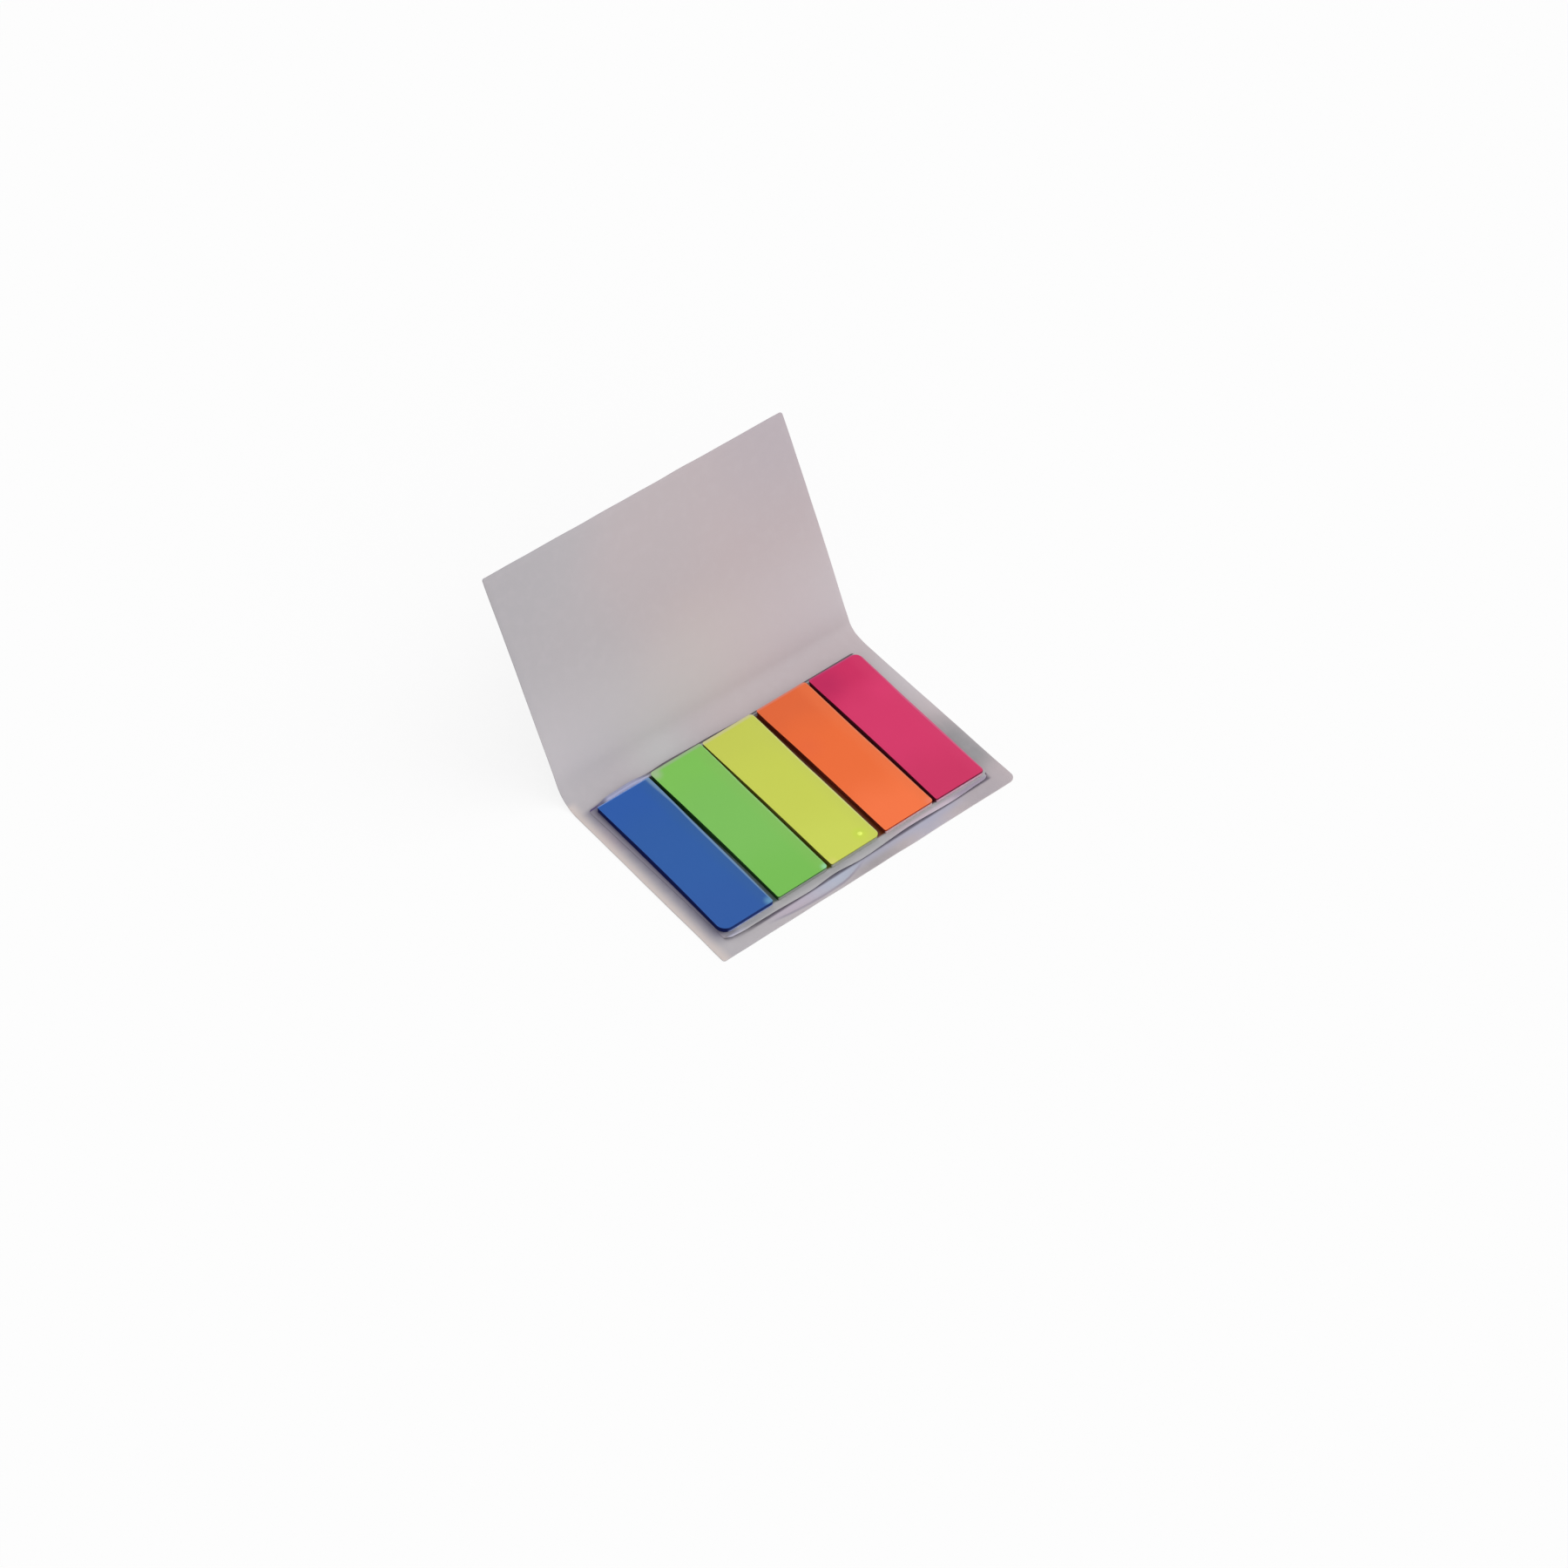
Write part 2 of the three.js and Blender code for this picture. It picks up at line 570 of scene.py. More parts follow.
def side_shade(finish, x, y, colour):
    """Darkens a colour towards the outer side of the first pad, which keeps the light off it."""
    beside = y.window(-27, -22, 25.5, 27.5) * x.rise(-36, -38)
    return finish.paint(colour, x.rise(-45.2, -39.4) * beside, (104, 101, 124))


def crease_colours(card, x, y, colour):
    """The crease on the front margin: a dark line of painted shade, and a pink to blue painted sheen on its
    far side.
    """
    past = y - crease_line(x)
    sheen = card.mix(x.rise(-22, -8), srgb(190, 176, 190), srgb(180, 188, 206))
    glow = past.window(-0.1, 0.5, 4, 5) * crease_window(x)
    colour = card.mix(glow * 0.7, colour, sheen)
    line = past.window(-0.5, -0.05, 0.05, 0.5) * crease_window(x)
    return card.paint(colour, line * 0.6, (138, 130, 150))


def margin_colours(card, x, y, low, colour):
    """The base panel's front margin: a lavender painted sheen, the crease, and a painted shadow under the
    sheet's lip.
    """
    at_front = y.rise(-20, -22)
    past_edge = y - SHEET_FRONT - x * SHEET_SKEW
    # A lavender painted sheen before the sheet's front edge
    sheen_band = past_edge.rise(-3, -0.8) * at_front * low * x.window(-32, -20, 26, 34)
    colour = card.paint(colour, sheen_band * 0.65, (172, 173, 194))
    colour = crease_colours(card, x, y, colour)
    # Painted shadow under the sheet's lip
    under = past_edge.rise(-0.75, -0.1) * at_front * x.window(-40, -29, 39.5, 40.8)
    return card.paint(colour, under * 0.8, (84, 76, 92))


def card_finish():
    """Pale uncoated board: cool grey on the left, a warmer grey on the right, with a fine grain, and
    painted light and shade.
    """
    card = Finish("card_board", Roughness=0.82, IOR=1.4, Specular_IOR_Level=0.3)
    place = card.rest_place()
    x, y, z = card.axes(place)
    drift = card.cloud(place, 34, 1) - 0.5
    plain = card.mix((x + drift * 60).rise(-48, 34), srgb(*CARD_COOL), srgb(*CARD_WARM))
    colour = plain
    # Tone patches, with painted shade and a painted sheen among them
    for tint, centre, radius, strength in CARD_TONE_AND_LIGHT:
        colour = card.paint(colour, card.near(place, centre, radius) * strength, tint)
    low = z.rise(1.4, 0.6)
    # Painted light: paler low on the cover, near the fold
    colour = card.paint(colour, z.window(0.3, 9, 10, 34) * 0.6, (200, 194, 198))
    # Painted light: paler along the left edge of the base panel
    colour = card.paint(colour, x.rise(-42, -45) * low * 0.85, (212, 200, 195))
    colour = side_shade(card, x, y, colour)
    colour = margin_colours(card, x, y, low, colour)
    # Painted shade beside the last pad
    shade_beside_last_pad = x.window(40.2, 41, 43.4, 47.5) * y.window(-26, -18, -11, 2) * low
    colour = card.paint(colour, shade_beside_last_pad * 0.8, (144, 144, 147))
    colour = card.mix(z.rise(0.1, 0.35), plain, colour)
    mottle = card.cloud(place, 2.4, 2)
    colour = card.paint(colour, (mottle - 0.5).rise(-0.1, 0.3) * 0.1, (202, 195, 199))
    card.set("Base Color", colour)
    card.bump(card.cloud(place, 0.35, 3, 0.6) * 0.012 + mottle * 0.01)
    return card.material


# The backing sheet

# Its corners, how far its left edge leans in at the front, and how far its front edge leans in at
# the right

SHEET_CORNERS = (1.7, 2.5, 0.8, 0.8)
SHEET_LEFT_LEAN = 1
SHEET_FRONT_LEAN = 0.45

# How high the sheet's front and back edges stand, from left to right, and how far they stray

FRONT_LIFT = [
    (-41, 0.7),
    (-35, 0.6),
    (-28, 0.3),
    (-16, 0.12),
    (-8, 0.3),
    (0, 0.1),
    (15, 0.3),
    (29, 0.1),
]
FRONT_LIFT_CURVE = 1.2
FRONT_STRAY = [
    (-41, 0.4),
    (-35, 0),
    (-29, 0.1),
    (-16, -0.25),
    (-8.5, 0.15),
    (0, -0.4),
    (15, 0.15),
    (29, -0.3),
    (38, 0),
]
BACK_LIFT = [(-40.5, 0), (-35.5, 1), (-29.5, 1.25), (-23.5, 0.5), (-18.5, 0.8), (-7, 0.35), (6, 0.05)]
BACK_STRAY = [(-41, 0), (-35, 0.3), (-7, 0.3), (7, 0)]

# How far the sheet's left edge sinks to lie on the card, between two distances from that edge

LEFT_DROP = 0.13
LEFT_DROP_REACH = (0.7, 0.1)

# Distances between the lines of the sheet's mesh

SHEET_COLUMNS = 0.6
SHEET_FRONT_ROWS = 0.2
SHEET_COVERED_ROWS = 4
SHEET_BACK_ROWS = 0.12

# Where a spot of painted shade sits on the sheet's front right corner, which lies in the dark under the
# last pad's corner

SHEET_CORNER = (40.4, -24.9, 0.7)

# The painted shade at the bottom of each slit between two pads: a tint at its back and one at its front

SLIT_SHADES = [
    ((22, 46, 18), (92, 108, 104)),
    ((40, 70, 12), (96, 96, 14)),
    ((84, 30, 6), (104, 46, 12)),
    ((70, 0, 14), (84, 4, 20)),
]


def backing_sheet(material):
    """The satin film that carries the pads. Its front lip lifts, and it curls up behind two pads."""
    low, high = box_mm("backing_sheet")
    pad_low, pad_high = box_mm("pad_yellow")
    corners = [
        (low.x + SHEET_LEFT_LEAN, low.y),
        (high.x, low.y + SHEET_FRONT_LEAN),
        (high.x, high.y),
        (low.x, high.y),
    ]
    bm = outline_plate(corners, SHEET_CORNERS)
    thicken(bm, high.z - low.z)
    cut_lines(bm, 0, steps(low.x, high.x, SHEET_COLUMNS))
    rows = steps(low.y, pad_low.y, SHEET_FRONT_ROWS) + [pad_low.y]
    rows += steps(pad_low.y, pad_high.y, SHEET_COVERED_ROWS) + [pad_high.y]
    rows += steps(pad_high.y, high.y, SHEET_BACK_ROWS)
    cut_lines(bm, 1, rows)
    from_back = bm.verts.layers.float.new("from_back")
    for vert in bm.verts:
        x, y, height = vert.co
        vert[from_back] = high.y - y
        front = smooth(y, pad_low.y, low.y)
        back = smooth(y, pad_high.y, high.y)
        lift = between(x, FRONT_LIFT) * front**FRONT_LIFT_CURVE + between(x, BACK_LIFT) * back
        left_edge = low.x + SHEET_LEFT_LEAN * (high.y - y) / (high.y - low.y)
        near_left = smooth(x - left_edge, *LEFT_DROP_REACH)
        lift -= LEFT_DROP * near_left * (1 - front)
        vert.co.y += between(x, FRONT_STRAY) * front + between(x, BACK_STRAY) * back
        vert.co.z = (low.z + high.z) / 2 + height + lift
    piece = finished_piece("release_sheet", bm, material)
    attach(piece, "base")
    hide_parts("backing_sheet")
    return piece


def slit_colours(film, x, y, colour):
    """The strips of the sheet between two pads, in painted shade tinted with the deep colours that the pads
    throw on them.
    """
    inside = y.window(-24.2, -23.5, 25.3, 25.8)
    for (back, front), left, right in zip(SLIT_SHADES, PADS, PADS[1:]):
        slit = x.window(left.high.x - 0.9, left.high.x - 0.4, right.low.x + 0.4, right.low.x + 0.9)
        tint = film.mix(y.rise(4, -10), srgb(*back), srgb(*front))
        colour = film.mix(slit * inside, colour, tint)
    return colour


def lip_colours(film, x, y, colour):
    """The sheet's front lip and the part behind the first pad, tinted by the light on each."""
    behind = y.rise(24.6, 25.2)
    lip = y.rise(-24.6, -25.4)
    colour = film.paint(colour, behind * x.rise(-22, -26) * 0.9, (176, 181, 222))
    colour = film.paint(colour, lip * x.rise(-33, -40) * 0.85, (206, 204, 224))
    colour = film.paint(colour, lip * x.rise(20, 30) * 0.8, (164, 150, 172))
    return film.paint(colour, lip * x.window(6, 17, 26, 32) * 0.9, (206, 192, 204))


def back_edge_colours(film, x, colour):
    """A line of painted shade along the sheet's back edge, purple at its left end."""
    from_back = film.node("ShaderNodeAttribute", {"attribute_name": "from_back"}, {})
    rim = Number(film, from_back.outputs["Fac"]).rise(0.6, 0.35)
    strength = 0.45 + x.rise(-30, -20) * 0.5 + x.rise(-38.5, -40) * 0.5
    tint = film.mix(x.rise(-37, -39), srgb(84, 76, 80), srgb(78, 64, 108))
    return film.mix(rim * strength, colour, tint)


def backing_finish():
    """Grey satin film, with painted shade between the pads tinted in their colours, behind them and along
    its back edge.
    """
    film = Finish("backing_film", Roughness=0.36, IOR=1.46, Coat_Weight=0.1, Specular_IOR_Level=0.3)
    place = film.place()
    x, y, _ = film.axes(place)
    colour = film.mix(film.cloud(place, 9, 2), srgb(171, 173, 176), srgb(184, 180, 182))
    colour = lip_colours(film, x, y, colour)
    colour = film.paint(colour, x.rise(-39.9, -40.5), (188, 180, 182))
    colour = side_shade(film, x, y, colour)
    colour = slit_colours(film, x, y, colour)
    # Painted shade just behind the pads
    shade_behind_pads = y.window(24.7, 25, 25.2, 25.6) * x.rise(-24, -23)
    colour = film.paint(colour, shade_behind_pads, (112, 104, 108))
    # Painted shade at the sheet's front right corner
    colour = film.paint(colour, film.near(place, SHEET_CORNER, 1).rise(0.1, 0.6), (86, 50, 78))
    film.set("Base Color", back_edge_colours(film, x, colour))
    film.bump(film.cloud(place, 3, 2) * 0.03)
    return film.material


# The pads

FLAG_WIDTH = 15
FLAG_LENGTH = 49
FLAG_HALF_WIDTH = FLAG_WIDTH / 2
FLAG_HALF_LENGTH = FLAG_LENGTH / 2

# The flags' edges in a pad's side: how many there are, and how deep the groove between two is

SHEETS_PER_PAD = 24
SHEET_GROOVE = 0.035
SHEET_SCATTER = 0.018

# The top film: its mesh, how its ends curl up, how its back right corner flares and how it wavers

FLAG_GRID = 1.6
CURL_HEIGHT = 0.12
CURL_LENGTH = 6
BACK_REACH_LENGTH = 5
BACK_FLARE = 0.45
FLARE_START = 2
TOP_WAVER = 0.05
TOP_WAVE = 9

# The share of the stack's height above which a point is in the top film

TOP_FILM_SHARE = 0.99

# The air bubble under one pad's top film, the colour of its painted highlight, and the lines that its mesh
# needs

BUBBLE_HEIGHT = 0.2
BUBBLE_RADIUS = 0.85
BUBBLE_HIGHLIGHT = (230, 248, 106)
BUBBLE_LINES = [0.2 * i for i in range(-4, 5)]

# How much of what is seen of the film is its own pale sheen

FILM_SHEEN = 0.018


class Pad:
    """What is particular to one pad of flags. Places are in its own axes, from its middle."""

    def __init__(self, colour, **facts):
        self.node = "pad_" + colour
        self.colour = colour
        self.turn = math.radians(facts["turn"])
        self.corners = facts["corners"]
        self.bow = facts["bow"]
        self.back_reach = facts["back_reach"]
        self.tops = facts["tops"]
        self.edge = facts["edge"]
        self.wall = facts["wall"]
        self.end = facts["end"]
        self.end_reach = facts["end_reach"]
        self.foot = facts["foot"]
        self.highlight_rims = facts["highlight_rims"]
        self.patches = facts["patches"]
        self.bubble = facts.get("bubble")
        low, high = box_mm(self.node)
        self.low = low
        self.high = high
        self.centre = (low + high) / 2
        self.thickness = high.z - low.z


# Colours are as the eye sees them. A top has one for its front, its middle and its back. A rim has a
# side, a width, how much wider it is at the back, a colour and a strength, and a patch has a colour,
# a centre, a radius and a strength. A rim is a painted highlight where the film lifts and catches the
# light. The pale patches at the corners and the yellow pad's patch over its bubble are painted
# highlights too, while the broad patches on the orange and pink pads are uneven tone. A wall and an
# end are the deep colours of the stack's sides and front end, partly their own tint and partly painted
# shade, and a foot is the pale base of the front end, partly clear film and partly a painted reflection.

PADS = [
    Pad(
        "blue",
        turn=-0.35,
        corners=(2.6, 0.5, 0.4, 0.4),
        bow=0.35,
        back_reach=0,
        tops=[(53, 94, 165), (53, 96, 166), (52, 95, 170)],
        edge=(58, 98, 154),
        wall=(12, 22, 82),
        end=(34, 56, 118),
        end_reach=0.25,
        foot=(150, 164, 206),
        highlight_rims=[("right", 0.26, 0.9, (124, 156, 182), 0.7), ("back", 0.25, 0, (130, 160, 214), 0.8)],
        patches=[((104, 154, 190), (6.9, -23.8), 2, 0.9)],
    ),
    Pad(
        "green",
        turn=-0.1,
        corners=(0.5, 0.8, 0.4, 0.9),
        bow=0.25,
        back_reach=0.75,
        tops=[(122, 191, 88), (127, 193, 95), (128, 196, 92)],
        edge=(134, 190, 96),
        wall=(12, 52, 10),
        end=(62, 116, 52),
        end_reach=0.75,
        foot=(150, 154, 148),
        highlight_rims=[("right", 0.25, 0, (150, 200, 130), 0.5), ("back", 0.9, 0, (156, 182, 140), 0.85)],
        patches=[((166, 192, 150), (-6.6, 24), 2.6, 0.85), ((152, 218, 172), (7, -24), 1.6, 0.9)],
    ),
    Pad(
        "yellow",
        turn=0.1,
        corners=(0.5, 1.5, 0.9, 0.6),
        bow=0.2,
        back_reach=0.6,
        tops=[(204, 214, 93), (201, 210, 89), (199, 207, 90)],
        edge=(198, 206, 94),
        wall=(84, 84, 4),
        end=(150, 154, 80),
        end_reach=0.8,
        foot=(164, 166, 156),
        highlight_rims=[("right", 0.25, 0, (210, 210, 146), 0.6), ("back", 0.9, 0, (202, 198, 150), 0.85)],
        patches=[((216, 214, 112), (-6.8, -24), 2, 0.8), ((198, 222, 74), (3.9, -21.2), 3, 0.6)],
        bubble=(3.9, -21.2),
    ),
    Pad(
        "orange",
        turn=0,
        corners=(0.5, 0.8, 0.8, 0.6),
        bow=0.2,
        back_reach=0.5,
        tops=[(247, 121, 73), (238, 112, 62), (228, 107, 63)],
        edge=(238, 120, 74),
        wall=(84, 20, 2),
        end=(178, 62, 34),
        end_reach=0.7,
        foot=(202, 178, 182),
        highlight_rims=[("right", 0.25, 0, (216, 136, 108), 0.5), ("back", 0.6, 0, (214, 132, 116), 0.8)],
        patches=[((232, 106, 66), (-5, 8), 6, 0.4), ((240, 134, 108), (7, -24), 2, 0.7)],
    ),
    Pad(
        "pink",
        turn=-0.6,
        corners=(0.5, 0.8, 2.2, 0.5),
        bow=0.25,
        back_reach=0.35,
        tops=[(206, 57, 101), (214, 60, 107), (205, 51, 99)],
        edge=(212, 64, 108),
        wall=(66, 0, 14),
        end=(140, 34, 70),
        end_reach=0.6,
        foot=(210, 174, 192),
        highlight_rims=[("right", 0.25, 0, (204, 116, 150), 0.55), ("back", 0.45, 0, (186, 84, 130), 0.75)],
        patches=[((184, 44, 92), (-5, 21), 8, 0.6), ((222, 64, 114), (5, 12), 7, 0.5)],
    ),
]


def ring_down(bm, rim, drop, shift, widen):
    """Draws the outline down to one more ring, shifted sideways and drawn in or out."""
    drawn = bmesh.ops.extrude_edge_only(bm, edges=rim)["geom"]
    rim = [item for item in drawn if isinstance(item, bmesh.types.BMEdge) and item.is_boundary]
    verts = list({vert for edge in rim for vert in edge.verts})
    scale = (1 + widen / FLAG_HALF_WIDTH, 1 + widen / FLAG_HALF_LENGTH, 1)
    bmesh.ops.scale(bm, vec=scale, verts=verts)
    bmesh.ops.translate(bm, vec=(shift.x, shift.y, -drop), verts=verts)
    return rim


def flag_stack(pad):
    """The stack of flags: a top film, and under it the edges of the flags with a groove between them."""
    corners = [
        (-FLAG_HALF_WIDTH, -FLAG_HALF_LENGTH),
        (FLAG_HALF_WIDTH, -FLAG_HALF_LENGTH),
        (FLAG_HALF_WIDTH, FLAG_HALF_LENGTH),
        (-FLAG_HALF_WIDTH, FLAG_HALF_LENGTH),
    ]
    bm = outline_plate(corners, pad.corners)
    columns = steps(-FLAG_HALF_WIDTH, FLAG_HALF_WIDTH, FLAG_GRID)
    rows = steps(-FLAG_HALF_LENGTH, FLAG_HALF_LENGTH, FLAG_GRID)
    if pad.bubble:
        columns += [pad.bubble[0] + line for line in BUBBLE_LINES]
        rows += [pad.bubble[1] + line for line in BUBBLE_LINES]
    cut_lines(bm, 0, columns)
    cut_lines(bm, 1, rows)
    bmesh.ops.translate(bm, verts=bm.verts[:], vec=(0, 0, pad.thickness))
    top = set(bm.faces)
    rim = [edge for edge in bm.edges if edge.is_boundary]
    chance = random.Random(pad.colour)
    pitch = pad.thickness / SHEETS_PER_PAD
    stray = Vector((0, 0, 0))
    for sheet in range(SHEETS_PER_PAD):
        next_stray = Vector((chance.gauss(0, SHEET_SCATTER), chance.gauss(0, SHEET_SCATTER), 0))
        first = sheet == 0
        last = sheet == SHEETS_PER_PAD - 1
        rim = ring_down(bm, rim, pitch / 2, next_stray - stray, 0 if first else SHEET_GROOVE)
        rim = ring_down(bm, rim, pitch / 2, Vector((0, 0, 0)), 0 if last else -SHEET_GROOVE)
        stray = next_stray
    bmesh.ops.holes_fill(bm, edges=rim, sides=0)
    for face in bm.faces:
        face.material_index = 0 if face in top else 1
    return bm


def film_height(pad, x, y):
    """How far the top film stands above its flat place."""
    curl = CURL_HEIGHT * smooth(abs(y), FLAG_HALF_LENGTH - CURL_LENGTH, FLAG_HALF_LENGTH)
    return curl + TOP_WAVER * noise.noise(Vector((x / TOP_WAVE, y / TOP_WAVE, pad.centre.x)))


def flag_pad(pad):
    """One pad of flags. The higher a flag lies in the stack, the more it follows the top film's shape."""
    bm = flag_stack(pad)
    turn = Matrix.Rotation(pad.turn, 3, "Z")
    foot = Vector((pad.centre.x, pad.centre.y, pad.low.z))
    for vert in bm.verts:
        x, y, height = vert.co
        share = height / pad.thickness
        reach = y / FLAG_HALF_LENGTH
        flare = BACK_FLARE * smooth(y, FLARE_START, FLAG_HALF_LENGTH) * smooth(x, 0, FLAG_HALF_WIDTH)
        side = x + (pad.bow * (1 - reach * reach) + flare) * share
        at_back = smooth(y, FLAG_HALF_LENGTH - BACK_REACH_LENGTH, FLAG_HALF_LENGTH)
        end = y + pad.back_reach * at_back * share
        top = height + film_height(pad, x, y) * share
        if pad.bubble and share > TOP_FILM_SHARE:
            from_bubble = (Vector((x, y)) - Vector(pad.bubble)).length
            top += BUBBLE_HEIGHT * smooth(from_bubble, BUBBLE_RADIUS, 0)
        vert.co = foot + turn @ Vector((side, end, top))
    piece = finished_piece("flags_" + pad.colour, bm, top_film_finish(pad), cut_edge_finish(pad))
    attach(piece, "base")
    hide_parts(pad.node)
    return piece


def film_colour(red, green, blue):
    """The colour under the film's gloss, whose own pale sheen makes up the rest of what is seen."""
    return (*[max(0, channel - FILM_SHEEN) for channel in srgb(red, green, blue)[:3]], 1)


def top_film_finish(pad):
    """The satin film on top: an even colour, with painted highlights where the film lifts at its edges and
    corners.
    """
    film = Finish("film_" + pad.colour, IOR=1.45, Specular_IOR_Level=0.3)
    place = film.place((pad.centre.x, pad.centre.y, 0), pad.turn)
    x, y, _ = film.axes(place)
    drift = (film.cloud(place, 14, 1) - 0.5) * 14
    front, middle, back = [film_colour(*top) for top in pad.tops]
    level = film.mix((y + drift).rise(-22, -2), front, middle)
    level = film.mix((y + drift).rise(8, 22), level, back)
    level = film.mix((x + drift * 0.1).rise(3.5, 7) * 0.5, level, film_colour(*pad.edge))
    distances = {
        "right": FLAG_HALF_WIDTH + y.rise(FLARE_START, FLAG_HALF_LENGTH) * BACK_FLARE - x,
        "back": FLAG_HALF_LENGTH + pad.back_reach - y,
    }
    # Painted highlights along the edges where the film lifts
    for side, width, spread, tint, strength in pad.highlight_rims:
        reach = width + y.rise(12, 25) * spread
        rim = 1 - (distances[side] / reach).rise(0.4, 1.3)
        level = film.mix(rim * strength, level, film_colour(*tint))
    flat = film.node("ShaderNodeVectorMath", {"operation": "MULTIPLY"}, {0: place, 1: (1, 1, 0)})
    # Patches of tone, and painted highlights at the corners
    for tint, centre, radius, strength in pad.patches:
        spot = film.near(flat.outputs[0], (*centre, 0), radius)
        level = film.mix(spot * strength, level, film_colour(*tint))
    # A painted highlight on the bubble
    if pad.bubble:
        spot = film.near(flat.outputs[0], (*pad.bubble, 0), 1)
        level = film.paint(level, spot.rise(0.15, 0.6), BUBBLE_HIGHLIGHT)
    film.set("Base Color", level)
    film.set("Roughness", 0.36 + film.cloud(place, 6, 2) * 0.12)
    film.bump(film.cloud(place, 2.6, 2) * 0.02 + film.cloud(place, 0.12, 1) * 0.002)
    return film.material


def cut_edge_finish(pad):
    """The stack's cut edges: deep colours with painted shade, and ends with a foot of clear film and
    painted reflection.
    """
    edge = Finish("edge_" + pad.colour, Roughness=0.55, IOR=1.45, Specular_IOR_Level=0.1)
    place = edge.place((pad.centre.x, pad.centre.y, pad.low.z), pad.turn)
    _, y, z = edge.axes(place)
    lines = z.wave(pad.thickness / SHEETS_PER_PAD)
    # Deep colours of the sides and ends, partly their own tint and partly painted shade
    sides = edge.mix(lines * 0.2, srgb(*pad.wall), srgb(*pad.end))
    ends = edge.mix(lines * 0.15, srgb(*pad.end), srgb(*pad.wall))
    foot = pad.thickness * pad.end_reach
    # A pale foot, partly clear film and partly a painted reflection
    ends = edge.paint(ends, z.rise(foot + 0.08, foot - 0.08), pad.foot)
    at_front = (FLAG_HALF_LENGTH + y).rise(0.35, 0.02)
    edge.set("Base Color", edge.mix(at_front, sides, ends))
    edge.bump(edge.cloud(place, 0.4, 2) * 0.01)
    return edge.material


def tape_finish():
    """Cream paper tape, which the backing sheet hides."""
    tape = Finish("mounting_tape", Roughness=0.7)
    place = tape.place()
    tape.set("Base Color", tape.mix(tape.cloud(place, 1.5, 3), srgb(226, 220, 206), srgb(236, 232, 222)))
    tape.bump(tape.cloud(place, 0.5, 2) * 0.01)
    return tape.material


# The stage. The floor's side is in metres, and its white share is how much of what is seen of it is
# plain white without shade. The sky and the suns each give a share of the light on the floor. A sun
# has a name, its share, the way towards it and its width in degrees.

FLOOR_SIZE = 6
FLOOR_COLOUR = srgb(253, 253, 253)
FLOOR_WHITE_SHARE = 0.82
SKY_SHARE = 0.66
SUNS = [
    ("key", 0.22, (0.75, -0.3, 1), 50),
    ("fill", 0.12, (-0.2, -0.9, 1), 60),
]

# The camera that the photograph's outline gives: degrees, lens and sensor in millimetres, and its
# place as steps right, up and back from the middle of the card's crease

CAMERA_AZIMUTH = -38.99
CAMERA_ELEVATION = 48.98
CAMERA_LENS = 90.3
CAMERA_SENSOR = 36
CAMERA_STEPS = (17.89, -16.35, 963.66)
CAMERA_AIM = Vector((0, 31.86, 0.2))

# The farthest that it sees, in metres

CAMERA_FAR = 20


def seen_share(nodes, share):
    """The share given, for the view and for reflections, and 0 for light that falls on things."""
    path = nodes.node("ShaderNodeLightPath", {}, {}).outputs
    camera = Number(nodes, path["Is Camera Ray"])
    glossy = Number(nodes, path["Is Glossy Ray"])
    passing = Number(nodes, path["Is Transmission Ray"])
    return camera.maths("MAXIMUM", camera, glossy.maths("MAXIMUM", glossy, passing)) * share


def white_to_view(nodes, share, lit, white):
    """Mixes a white shader over the lit one for the view and for reflections."""
    mixed = nodes.node("ShaderNodeMixShader", {}, {0: seen_share(nodes, share), 1: lit, 2: white})
    return mixed.outputs[0]


def build_world():
    world = bpy.data.worlds.new("studio")
    world.use_nodes = True
    sky = Nodes(world.node_tree)
    light = sky.node("ShaderNodeBackground", {}, {"Color": (1, 1, 1, 1), "Strength": SKY_SHARE})
    white = sky.node("ShaderNodeBackground", {}, {"Color": (1, 1, 1, 1), "Strength": 1})
    shown = white_to_view(sky, 1, light.outputs[0], white.outputs[0])
    sky.feed(sky.tree.nodes["World Output"].inputs["Surface"], shown)
    bpy.context.scene.world = world


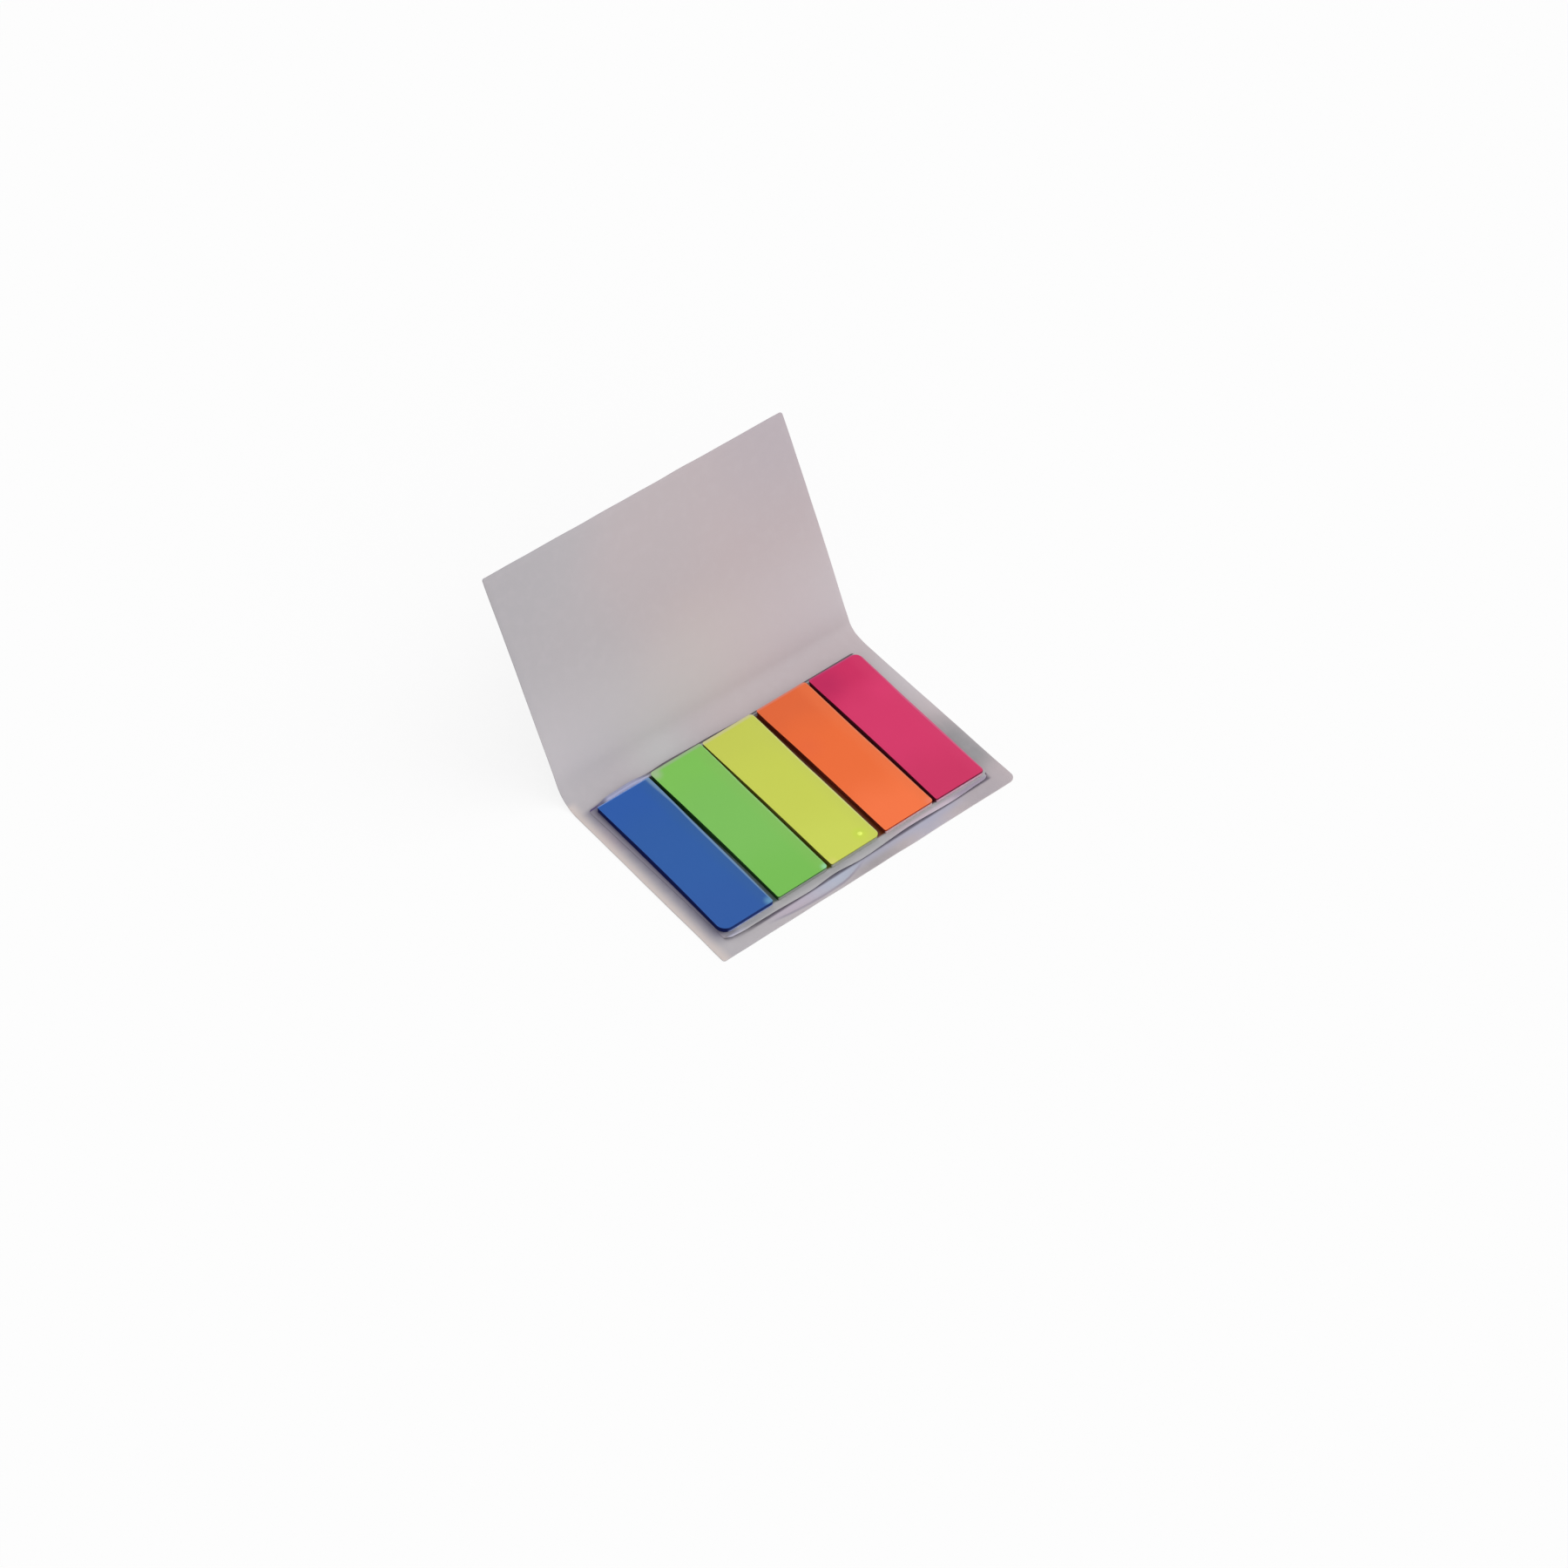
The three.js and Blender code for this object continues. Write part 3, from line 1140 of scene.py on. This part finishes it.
def build_suns():
    for name, share, direction, width in SUNS:
        way = Vector(direction).normalized()
        lamp = bpy.data.lights.new(name, "SUN")
        lamp.energy = share * math.pi / way.z
        lamp.angle = math.radians(width)
        holder = bpy.data.objects.new(name, lamp)
        holder.rotation_euler = way.to_track_quat("Z", "Y").to_euler()
        bpy.context.scene.collection.objects.link(holder)


def build_floor():
    bm = bmesh.new()
    bmesh.ops.create_grid(bm, x_segments=1, y_segments=1, size=FLOOR_SIZE / 2 / MM)
    paper = Finish("floor_paper", Roughness=0.95, Specular_IOR_Level=0)
    paper.set("Base Color", FLOOR_COLOUR)
    white = paper.node("ShaderNodeEmission", {}, {"Color": FLOOR_COLOUR, "Strength": 1})
    shown = white_to_view(paper, FLOOR_WHITE_SHARE, paper.shader.outputs[0], white.outputs[0])
    paper.feed(paper.tree.nodes["Material Output"].inputs["Surface"], shown)
    floor = finished_piece("floor", bm, paper.material)


def build_camera():
    azimuth = math.radians(CAMERA_AZIMUTH)
    elevation = math.radians(CAMERA_ELEVATION)
    right = Vector((math.cos(azimuth), math.sin(azimuth), 0))
    back = Vector(
        (
            math.sin(azimuth) * math.cos(elevation),
            -math.cos(azimuth) * math.cos(elevation),
            math.sin(elevation),
        )
    )
    up = back.cross(right)
    place = CAMERA_AIM + right * CAMERA_STEPS[0] + up * CAMERA_STEPS[1] + back * CAMERA_STEPS[2]
    lens = bpy.data.cameras.new("view")
    lens.lens = CAMERA_LENS
    lens.sensor_width = CAMERA_SENSOR
    lens.clip_end = CAMERA_FAR
    camera = bpy.data.objects.new("view", lens)
    axes = Matrix((right, up, back)).transposed()
    camera.matrix_world = Matrix.Translation(place * MM) @ axes.to_4x4()
    bpy.context.scene.collection.objects.link(camera)
    bpy.context.scene.camera = camera


def build_booklet():
    board = card_finish()
    card_front_half(board)
    card_back_half(board)
    backing_sheet(backing_finish())
    for pad in PADS:
        flag_pad(pad)
    tape = frame["nodes"]["mounting_tape"]
    tape.data.materials.clear()
    tape.data.materials.append(tape_finish())


build_camera()
build_world()
build_suns()
build_floor()
build_booklet()
bpy.context.scene.view_settings.view_transform = "Standard"
